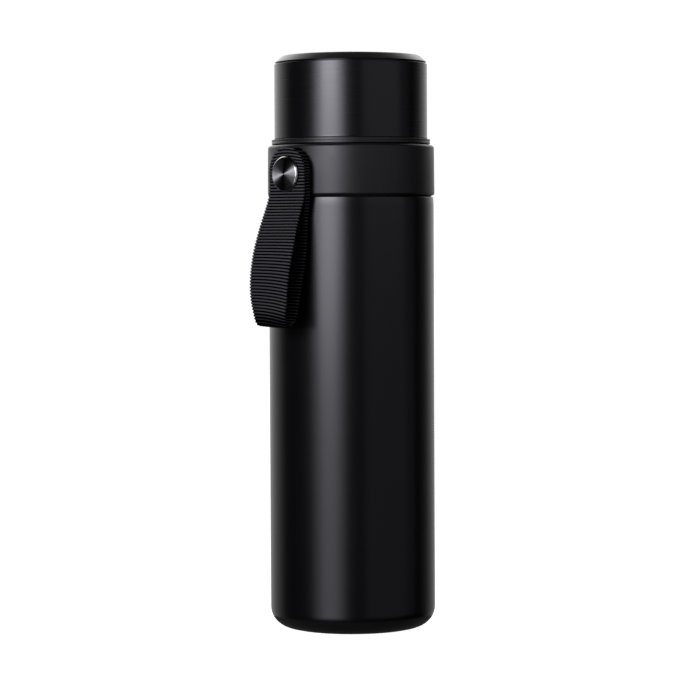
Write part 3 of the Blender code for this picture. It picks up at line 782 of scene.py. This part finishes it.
def make_inner_shell(steel):
    vessel = radius_of("inner_shell")
    bottom = bottom_of("inner_shell")
    rim = top_of("inner_shell")
    floor = bottom + SHELL_WALL
    vessel_inside = vessel - SHELL_WALL
    neck_inside = VESSEL_NECK_RADIUS - SHELL_WALL
    fine(
        "inner_shell",
        [
            (0, bottom),
            (vessel, bottom, VESSEL_FILLET),
            (vessel, VESSEL_SHOULDER_LOW, VESSEL_SHOULDER_ROUND),
            (VESSEL_NECK_RADIUS, VESSEL_SHOULDER_HIGH, VESSEL_SHOULDER_ROUND),
            (VESSEL_NECK_RADIUS, rim - SHELL_WALL),
            (NECK_RADIUS, rim - SHELL_WALL, RIM_ROUND),
            (NECK_RADIUS, rim, RIM_ROUND),
            (neck_inside, rim, 2 * RIM_ROUND),
            (neck_inside, VESSEL_SHOULDER_HIGH, VESSEL_SHOULDER_ROUND),
            (vessel_inside, VESSEL_SHOULDER_LOW, VESSEL_SHOULDER_ROUND),
            (vessel_inside, floor, VESSEL_FILLET - SHELL_WALL),
            (0, floor),
        ],
        steel,
    )


def make_reflective_foil(foil):
    node = "reflective_foil"
    radius = radius_of(node)
    corners = tube_corners(radius - FOIL_THICKNESS, radius, bottom_of(node), top_of(node))
    fine(node, corners, foil)


def make_bottom_plate(steel):
    node = "bottom_plate"
    low, high = bottom_of(node), top_of(node)
    fine(node, tube_corners(SEAL_HOLE_RADIUS, radius_of(node), low, high, RIM_ROUND), steel)


def make_vacuum_seal(glass):
    low = bottom_of("vacuum_seal")
    high = top_of("vacuum_seal")
    radius = radius_of("vacuum_seal")
    fine(
        "vacuum_seal",
        [
            (0, low),
            (SEAL_STEM_RADIUS, low),
            (SEAL_STEM_RADIUS, high - SEAL_HEAD_HEIGHT),
            (radius, high - SEAL_HEAD_HEIGHT, RIM_ROUND),
            (radius, high, EDGE_ROUND),
            (0, high),
        ],
        glass,
    )


def make_getter(metal):
    low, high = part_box("getter")
    corners = disc_corners((high.y - low.y) / 2, low.z, high.z, EDGE_ROUND)
    pellet = turned("fine_getter", corners, SCREW_SEGMENTS)
    pellet.data.transform(Matrix.Translation(((low.x + high.x) / 2, 0, 0)))
    stand_for(pellet, "getter", metal)


def make_disc(node, finish):
    fine(node, disc_corners(radius_of(node), bottom_of(node), top_of(node), EDGE_ROUND), finish)


# ---------------------------------------------------------------- collar


def make_mouthpiece(plastic):
    deck = radius_of("mouthpiece")
    spout_top = top_of("mouthpiece")
    skirt_bottom = bottom_of("mouthpiece")
    fine(
        "mouthpiece",
        [
            (BORE_RADIUS, LIP_BOTTOM, RIM_ROUND),
            (LIP_RADIUS, LIP_BOTTOM, RIM_ROUND),
            (LIP_RADIUS, DECK_UNDERSIDE),
            (SKIRT_INNER_RADIUS, DECK_UNDERSIDE),
            *thread_wall(SKIRT_THREAD, DECK_UNDERSIDE - EDGE_ROUND, skirt_bottom + EDGE_ROUND),
            (SKIRT_INNER_RADIUS + EDGE_ROUND, skirt_bottom),
            (SKIRT_OUTER_RADIUS, skirt_bottom, EDGE_ROUND),
            (SKIRT_OUTER_RADIUS, DECK_FLANGE_UNDERSIDE),
            (deck, DECK_FLANGE_UNDERSIDE, EDGE_ROUND),
            (deck, DECK_TOP, EDGE_ROUND),
            (SPOUT_RADIUS + SPOUT_ROOT_ROUND, DECK_TOP),
            *thread_wall(SPOUT_THREAD, DECK_TOP + SPOUT_ROOT_ROUND, spout_top - SPOUT_ROUND),
            (SPOUT_RADIUS, spout_top, SPOUT_OUTER_ROUND),
            (BORE_RADIUS, spout_top, SPOUT_ROUND),
        ],
        plastic,
        threads=(SKIRT_THREAD, SPOUT_THREAD),
    )


def boss_block():
    """The block on the collar ring's inside that holds the threaded insert."""
    bm = bmesh.new()
    bmesh.ops.create_cube(bm, size=1)
    bmesh.ops.scale(bm, vec=(BOSS_FAR - BOSS_NEAR, BOSS_WIDTH, BOSS_WIDTH), verts=bm.verts)
    middle = (-(BOSS_NEAR + BOSS_FAR) / 2, 0, SCREW_HEIGHT)
    bmesh.ops.translate(bm, vec=middle, verts=bm.verts)
    return mesh_object("boss_block", bm)


def make_collar_ring(plastic):
    top = top_of("collar_ring")
    ring = turned(
        "fine_collar_ring",
        [
            (COLLAR_INNER_RADIUS, COLLAR_SKIRT_BOTTOM),
            (COLLAR_SKIRT_RADIUS, COLLAR_SKIRT_BOTTOM),
            (COLLAR_SKIRT_TOP_RADIUS, COLLAR_BOTTOM),
            (radius_of("collar_ring"), COLLAR_BOTTOM, COLLAR_LOW_ROUND),
            (COLLAR_HIGH_RADIUS, top, COLLAR_TOP_ROUND),
            (COLLAR_MOUTH_RADIUS, top, EDGE_ROUND),
            (COLLAR_MOUTH_RADIUS, COLLAR_FLANGE_UNDERSIDE, EDGE_ROUND),
            (COLLAR_INNER_RADIUS, COLLAR_FLANGE_UNDERSIDE),
        ],
    )
    combine(ring, boss_block(), "UNION")
    spotface = disc_corners(SPOTFACE_RADIUS, SPOTFACE_DISTANCE, CUTTER_FAR)
    combine(ring, turned_on_screw("spotface", spotface), "DIFFERENCE")
    bore = disc_corners(INSERT_BORE_RADIUS, BORE_NEAR, CUTTER_FAR)
    combine(ring, turned_on_screw("bore", bore), "DIFFERENCE")
    stand_for(ring, "collar_ring", plastic)


def make_screw(spun):
    near, far, head = screw_span("strap_screw")
    fine_on_screw(
        "strap_screw",
        [
            (0, near),
            (SHANK_RADIUS, near, RIM_ROUND),
            (SHANK_RADIUS, HEAD_NEAR),
            (head, HEAD_NEAR, HEAD_EDGE_ROUND),
            (head, far - HEAD_BEVEL, HEAD_EDGE_ROUND),
            (head - HEAD_BEVEL, far, HEAD_EDGE_ROUND),
            (0, far),
        ],
        spun,
    )


def make_ring_on_screw(node, hole_radius, finish):
    near, far, radius = screw_span(node)
    fine_on_screw(node, tube_corners(hole_radius, radius, near, far, RIM_ROUND), finish)


def make_gasket(node, inner_radius, silicone):
    corners = tube_corners(
        inner_radius, radius_of(node), bottom_of(node), top_of(node), 2 * EDGE_ROUND
    )
    fine(node, corners, silicone)


# ---------------------------------------------------------------- webbing loop


def middle_line():
    """The strip's middle line, as distances and heights spaced evenly along it."""
    top = top_of("strap_webbing")
    points = [Vector((OUTER_LAYER_DISTANCE, top))]
    for curve in WEBBING_CURVES:
        knot, handle, next_handle, next_knot = (Vector(point) for point in curve)
        points += interpolate_bezier(knot, handle, next_handle, next_knot, CURVE_SAMPLES)
    points.append(Vector((INNER_LAYER_DISTANCE, top)))
    line = np.array(points)
    gaps = np.linalg.norm(np.diff(line, axis=0), axis=1)
    line = line[np.concatenate([[True], gaps > TOLERANCE])]
    along = np.concatenate([[0], np.cumsum(np.linalg.norm(np.diff(line, axis=0), axis=1))])
    length = along[-1]
    count = round(length / RIB_PITCH * RIB_SAMPLES)
    at = np.linspace(TIP_START, length - TIP_START, count)
    return at, length, np.interp(at, along, line[:, 0]), np.interp(at, along, line[:, 1])


def smooth_step(value):
    value = np.clip(value, 0, 1)
    return value * value * (3 - 2 * value)


def eased(height, start, end):
    """0 up to the height start, 1 from the height end on, and smooth between, either way round."""
    return smooth_step((height - start) / (end - start))


def twist_along(at, height, outer_share):
    """The slope across the strip at each station, smoothed along it."""
    outer = np.interp(height, *zip(*OUTER_TWIST))
    inner = np.interp(height, *zip(*INNER_TWIST))
    twist = inner + (outer - inner) * outer_share
    window = round(TWIST_SMOOTHING / (at[1] - at[0]))
    padded = np.pad(twist, window, mode="edge")
    return np.convolve(padded, np.ones(window) / window, mode="same")[window:-window]


def across_samples():
    """Shares of the half width from edge to edge, close together near both selvedges."""
    half = WEBBING_WIDTH / 2
    edge = np.array(EDGE_SAMPLES) / half - 1
    middle = np.linspace(edge[-1], -edge[-1], MIDDLE_SAMPLES + 2)[1:-1]
    return np.concatenate([edge, middle, -edge[::-1]])


def ribs_along(at, length, height, outer_share, across):
    """The count of ribs up to each point, which says where the point is on its own rib."""
    from_tip = np.minimum(at, length - at)
    bow = TIP_DROOP * smooth_step(1 - from_tip / TIP_DROOP_LENGTH)
    bow *= np.where(at < length / 2, 1, -1)
    low_down = eased(height, *SLANT_HEIGHTS) * outer_share
    bow = bow + RIB_BOW * low_down
    slant = RIB_SLANT * low_down
    bowed = at[:, None] - bow[:, None] * (across / (WEBBING_WIDTH / 2)) ** 2
    return (bowed + slant[:, None] * across) / RIB_PITCH


def webbing_points():
    """(points, maps, length) of the strip: one closed loop of points round it at each station.
    The maps are yarns across it, ribs along it, and a share that is 1 where the strip is clear of
    painted shade and 0 where it is in it, on the inner layer and near the fold."""
    at, length, distance, height = middle_line()
    half = WEBBING_WIDTH / 2
    from_tip = np.minimum(at, length - at)
    half_width = np.where(from_tip < half, np.sqrt(half**2 - (half - from_tip).clip(0) ** 2), half)
    along = np.stack([np.gradient(distance), np.gradient(height)], axis=1)
    along /= np.linalg.norm(along, axis=1)[:, None]
    outer_share = smooth_step((length / 2 - at) / FOLD_LENGTH + 0.5)
    is_outer = outer_share > 0.5

    share = across_samples()
    edge = half * (1 - np.abs(share))
    round_off = np.sqrt(1 - (1 - np.minimum(edge / EDGE_RADIUS, 1)) ** 2)
    groove = SELVEDGE_GROOVE_DEPTH * np.exp(-(((edge - SELVEDGE_GROOVE) / SELVEDGE_GROOVE_WIDTH) ** 2))
    across = half_width[:, None] * share
    ribs = ribs_along(at, length, height, outer_share, across)
    crest = np.abs(np.sin(math.pi * ribs)) ** RIB_SHAPE
    across = across - EDGE_SCALLOP * (1 - crest) * share**SCALLOP_SHARPNESS
    thick = (WEBBING_THICKNESS / 2 - RIB_DEPTH * (1 - crest) - groove) * round_off

    drop = INNER_EDGE_DROP + (OUTER_EDGE_DROP - INNER_EDGE_DROP) * outer_share
    drop *= eased(height, *DROP_HEIGHTS)
    twist = twist_along(at, height, outer_share)
    middle = -distance[:, None] + drop[:, None] * share**2 - twist[:, None] * across
    outer_shift = OUTER_SHIFT * eased(height, *OUTER_SHIFT_HEIGHTS)
    inner_shift = INNER_SHIFT * eased(height, *INNER_SHIFT_HEIGHTS)
    aside = across + np.where(is_outer, outer_shift, inner_shift)[:, None]
    tilt = FOLD_TILT * eased(height, *TILT_HEIGHTS)[:, None] * across
    # 1 where the strip is clear of painted shade, 0 on the inner layer and at the fold
    lustre = np.where(is_outer, 1 - eased(height, *FOLD_SHADE_HEIGHTS), 0.0)

    surfaces = []
    for side in (1, -1):
        x = middle + side * thick * along[:, 1][:, None]
        z = height[:, None] + side * thick * along[:, 0][:, None] + tilt
        surfaces.append(np.stack([x, aside, z], axis=2))
    loop = np.concatenate([surfaces[0], surfaces[1][:, -2:0:-1]], axis=1)
    maps = np.stack([across / YARN_PITCH, ribs, np.broadcast_to(lustre[:, None], ribs.shape)], axis=2)
    return loop, np.concatenate([maps, maps[:, -2:0:-1]], axis=1), length


def strip_mesh(name, points, maps):
    """A closed mesh through loops of points, with the maps on its corners."""
    stations, around = points.shape[:2]
    index = np.arange(stations * around).reshape(stations, around)
    following = np.roll(index, -1, axis=1)
    quads = np.stack([index[:-1], following[:-1], following[1:], index[1:]], axis=2).reshape(-1, 4)
    faces = [tuple(quad) for quad in quads.tolist()]
    faces += [tuple(index[0, ::-1].tolist()), tuple(index[-1].tolist())]
    mesh = bpy.data.meshes.new(name)
    mesh.from_pydata(points.reshape(-1, 3).tolist(), [], faces)
    corner_vertex = np.empty(len(mesh.loops), np.int32)
    mesh.loops.foreach_get("vertex_index", corner_vertex)
    at_corners = maps.reshape(-1, 3)[corner_vertex].astype(np.float32)
    for layer_name, columns in (("weave", [0, 1]), ("lustre", [2, 2])):
        layer = mesh.uv_layers.new(name=layer_name)
        layer.data.foreach_set("uv", at_corners[:, columns].ravel())
    bm = bmesh.new()
    bm.from_mesh(mesh)
    bmesh.ops.recalc_face_normals(bm, faces=bm.faces)
    bm.to_mesh(mesh)
    bm.free()
    return mesh


def make_webbing(cloth):
    """The strip as one closed ribbed mesh, with a hole for the pivot bush through both layers."""
    points, maps, length = webbing_points()
    name = "fine_strap_webbing"
    strip = bpy.data.objects.new(name, strip_mesh(name, points, maps))
    bpy.context.scene.collection.objects.link(strip)
    hole = disc_corners(WEBBING_HOLE_RADIUS, SPOTFACE_DISTANCE, CUTTER_FAR)
    combine(strip, turned_on_screw("webbing_hole", hole), "DIFFERENCE")
    strip.data.shade_smooth()
    stand_for(strip, "strap_webbing", cloth)


# ---------------------------------------------------------------- lid


def make_lid_liner(plastic):
    flange = radius_of("lid_liner")
    bottom = bottom_of("lid_liner")
    top = top_of("lid_liner")
    flange_middle = (bottom + FLANGE_TOP) / 2
    groove = flange - FLANGE_GROOVE_DEPTH
    fine(
        "lid_liner",
        [
            (LINER_INNER_RADIUS + EDGE_ROUND, bottom),
            (flange, bottom, FLANGE_ROUND),
            (flange, flange_middle - 2 * FLANGE_GROOVE_HALF_HEIGHT, FLANGE_GROOVE_HALF_HEIGHT),
            (groove, flange_middle - FLANGE_GROOVE_HALF_HEIGHT),
            (groove, flange_middle + FLANGE_GROOVE_HALF_HEIGHT),
            (flange, flange_middle + 2 * FLANGE_GROOVE_HALF_HEIGHT, FLANGE_GROOVE_HALF_HEIGHT),
            (flange, FLANGE_TOP, FLANGE_ROUND),
            (LINER_STEP_RADIUS, FLANGE_TOP),
            (LINER_STEP_RADIUS, LINER_STEP_TOP, EDGE_ROUND),
            (LINER_OUTER_RADIUS, LINER_STEP_TOP),
            (LINER_OUTER_RADIUS, top, EDGE_ROUND),
            (0, top),
            (0, LINER_CEILING),
            (PLUG_INNER_RADIUS, LINER_CEILING, EDGE_ROUND),
            (PLUG_INNER_RADIUS, PLUG_BOTTOM, PLUG_ROUND),
            (PLUG_OUTER_RADIUS, PLUG_BOTTOM, PLUG_ROUND),
            (PLUG_OUTER_RADIUS, LINER_CEILING, EDGE_ROUND),
            (LINER_INNER_RADIUS, LINER_CEILING),
            *thread_wall(LINER_THREAD, LINER_CEILING - EDGE_ROUND, bottom + EDGE_ROUND),
        ],
        plastic,
        threads=(LINER_THREAD,),
    )


def make_lid_sleeve(paint):
    radius = radius_of("lid_sleeve")
    low = bottom_of("lid_sleeve")
    inside = radius - SHELL_WALL
    fine(
        "lid_sleeve",
        [
            (inside, low),
            (radius, low, SLEEVE_LOW_ROUND),
            (radius - SLEEVE_FLARE, low + SLEEVE_FLARE_HEIGHT, SLEEVE_FLARE_HEIGHT),
            (radius - SLEEVE_FLARE, SLEEVE_TOP, SLEEVE_TOP_ROUND),
            (SLEEVE_LIP_RADIUS, SLEEVE_TOP, RIM_ROUND),
            (SLEEVE_LIP_RADIUS, SLEEVE_TOP - SHELL_WALL),
            (inside, SLEEVE_TOP - SHELL_WALL),
        ],
        paint,
    )


def make_lid_cap(plastic):
    plug_bottom = bottom_of("lid_cap")
    top = top_of("lid_cap")
    fine(
        "lid_cap",
        [
            (0, CAP_CEILING),
            (CAP_PLUG_INNER, CAP_CEILING),
            (CAP_PLUG_INNER, plug_bottom, RIM_ROUND),
            (CAP_PLUG_OUTER, plug_bottom, RIM_ROUND),
            (CAP_PLUG_OUTER, CAP_GROOVE_BOTTOM),
            (CAP_GROOVE_RADIUS, CAP_GROOVE_BOTTOM),
            (CAP_GROOVE_RADIUS, CAP_RIM_BOTTOM),
            (radius_of("lid_cap"), CAP_RIM_BOTTOM, CAP_RIM_ROUND),
            (CAP_TOP_RADIUS, top, CAP_TOP_ROUND),
            (0, top),
        ],
        plastic,
    )


# ---------------------------------------------------------------- studio and camera


def back_vector(azimuth, elevation=0.0):
    """The way from the bottle towards a camera or a light at that azimuth."""
    flat = math.cos(elevation)
    return Vector((math.sin(azimuth) * flat, -math.cos(azimuth) * flat, math.sin(elevation)))


def glowing(name, strength, diffuse=0.0):
    """A surface that glows evenly, white at strength 1. Its diffuse share takes shadows."""
    made = bpy.data.materials.new(name)
    made.use_nodes = True
    shader = made.node_tree.nodes["Principled BSDF"]
    shader.inputs["Base Color"].default_value = (diffuse, diffuse, diffuse, 1.0)
    shader.inputs["Roughness"].default_value = 1.0
    shader.inputs["Specular IOR Level"].default_value = 0.0
    shader.inputs["Emission Color"].default_value = (*WHITE, 1.0)
    shader.inputs["Emission Strength"].default_value = strength
    made.cycles.emission_sampling = "NONE"
    return made


def stage_disc(name, radius, height, finish):
    bm = bmesh.new()
    bmesh.ops.create_circle(bm, cap_ends=True, segments=STUDIO_SEGMENTS, radius=radius)
    bmesh.ops.translate(bm, vec=(0, 0, height), verts=bm.verts)
    disc = mesh_object(name, bm)
    disc.data.materials.append(finish)
    return disc


def only_for_camera(obj):
    """The bottle neither reflects this nor is lit by it."""
    obj.visible_diffuse = False
    obj.visible_glossy = False
    obj.visible_transmission = False
    obj.visible_volume_scatter = False
    obj.visible_shadow = False


def make_stage():
    floor = glowing("floor_white", FLOOR_GLOW, FLOOR_DIFFUSE)
    only_for_camera(stage_disc("studio_floor", STUDIO_RADIUS, 0, floor))
    bm = bmesh.new()
    bmesh.ops.create_uvsphere(
        bm, u_segments=STUDIO_SEGMENTS, v_segments=STUDIO_SEGMENTS // 2, radius=STUDIO_RADIUS
    )
    backdrop = mesh_object("studio_backdrop", bm)
    backdrop.data.materials.append(glowing("backdrop_white", BACKDROP_GLOW))
    only_for_camera(backdrop)


def make_contact_shade():
    """The dark of the contact with the floor, which the bottle's rounded bottom edge reflects."""
    grey = glowing("shade_grey", SHADE_GLOW)
    shade = stage_disc("studio_contact_shade", SHADE_RADIUS, -SHADE_DEPTH, grey)
    shade.visible_camera = False
    shade.visible_diffuse = False
    shade.visible_shadow = False


def soft_box(name, azimuth, distance, low, high, width, radiance):
    """A soft box at that azimuth from the camera, upright and facing the bottle's axis."""
    data = bpy.data.lights.new(name, "AREA")
    data.shape = "RECTANGLE"
    data.size = width
    data.size_y = high - low
    data.energy = radiance * width * (high - low)
    data.color = SOFTBOX_COLOUR
    light = bpy.data.objects.new(name, data)
    toward = back_vector(CAMERA_AZIMUTH + math.radians(azimuth))
    light.location = toward * distance + Vector((0, 0, (low + high) / 2))
    light.rotation_mode = "QUATERNION"
    light.rotation_quaternion = (-toward).to_track_quat("-Z", "Y")
    light.visible_camera = False
    bpy.context.scene.collection.objects.link(light)


def make_world():
    """A room that is bright behind the bottle, as the camera sees it, and dark in front."""
    world = bpy.data.worlds.new("studio")
    bpy.context.scene.world = world
    world.use_nodes = True
    tree = world.node_tree
    background = tree.nodes["Background"]
    direction = tree.nodes.new("ShaderNodeTexCoord").outputs["Generated"]
    away = tree.nodes.new("ShaderNodeVectorMath")
    away.operation = "DOT_PRODUCT"
    away.inputs[1].default_value = -back_vector(BACKLIGHT_AZIMUTH)
    tree.links.new(direction, away.inputs[0])
    colour = two_tone(tree, away.outputs["Value"], BACKLIGHT_START, 1.0, BLACK, WHITE)
    tree.links.new(colour, background.inputs["Color"])
    parts = tree.nodes.new("ShaderNodeSeparateXYZ")
    tree.links.new(direction, parts.inputs["Vector"])
    strength = 0.0
    for rise in BACKLIGHT_RISES:
        strength = math_node(tree, "ADD", mapped(tree, parts.outputs["Z"], *rise), strength)
    tree.links.new(strength, background.inputs["Strength"])


def make_lights():
    for name, values in SOFTBOXES.items():
        soft_box(name, *values)


def make_camera():
    data = bpy.data.cameras.new("camera")
    data.sensor_width = SENSOR_WIDTH
    data.lens = LENS
    camera = bpy.data.objects.new("camera", data)
    bpy.context.scene.collection.objects.link(camera)
    place = back_vector(CAMERA_AZIMUTH) * CAMERA_DISTANCE
    place.z = CAMERA_HEIGHT
    camera.location = place
    looking = -back_vector(CAMERA_AZIMUTH - CAMERA_YAW, -CAMERA_PITCH)
    camera.rotation_mode = "QUATERNION"
    aim = looking.to_track_quat("-Z", "Y")
    camera.rotation_quaternion = aim @ Quaternion((0, 0, 1), CAMERA_ROLL)
    bpy.context.scene.camera = camera


def main():
    steel = drawn_steel("stainless_steel")
    inner_plastic = moulded_plastic("black_polypropylene")
    silicone = soft_solid("white_silicone", Subsurface_Weight=SILICONE_SUBSURFACE)
    make_outer_shell(satin_paint("satin_black_paint"))
    make_inner_shell(steel)
    make_reflective_foil(plain_metal("copper_foil"))
    make_bottom_plate(steel)
    make_vacuum_seal(soft_solid("sealing_glass"))
    make_getter(plain_metal("getter_metal"))
    make_disc("base_pad", soft_solid("black_rubber"))
    make_mouthpiece(inner_plastic)
    make_collar_ring(moulded_plastic("matte_black_plastic"))
    make_gasket("collar_gasket", COLLAR_GASKET_INNER_RADIUS, silicone)
    make_screw(spun_steel("spun_dark_steel"))
    make_ring_on_screw("threaded_insert", INSERT_HOLE_RADIUS, plain_metal("brass"))
    make_ring_on_screw("pivot_washer", WASHER_HOLE_RADIUS, soft_solid("white_nylon"))
    make_ring_on_screw("pivot_bush", BUSH_HOLE_RADIUS, steel)
    make_webbing(webbing_cloth("black_webbing"))
    make_gasket("lid_gasket", LID_GASKET_INNER_RADIUS, silicone)
    make_lid_liner(inner_plastic)
    make_lid_sleeve(satin_paint("satin_black_paint_brushed"))
    make_disc("lid_foam", soft_solid("white_foam"))
    make_lid_cap(moulded_plastic("matte_black_plastic_cap"))
    make_stage()
    make_contact_shade()
    make_world()
    make_lights()
    make_camera()
    bpy.context.scene.view_settings.view_transform = "Standard"


main()
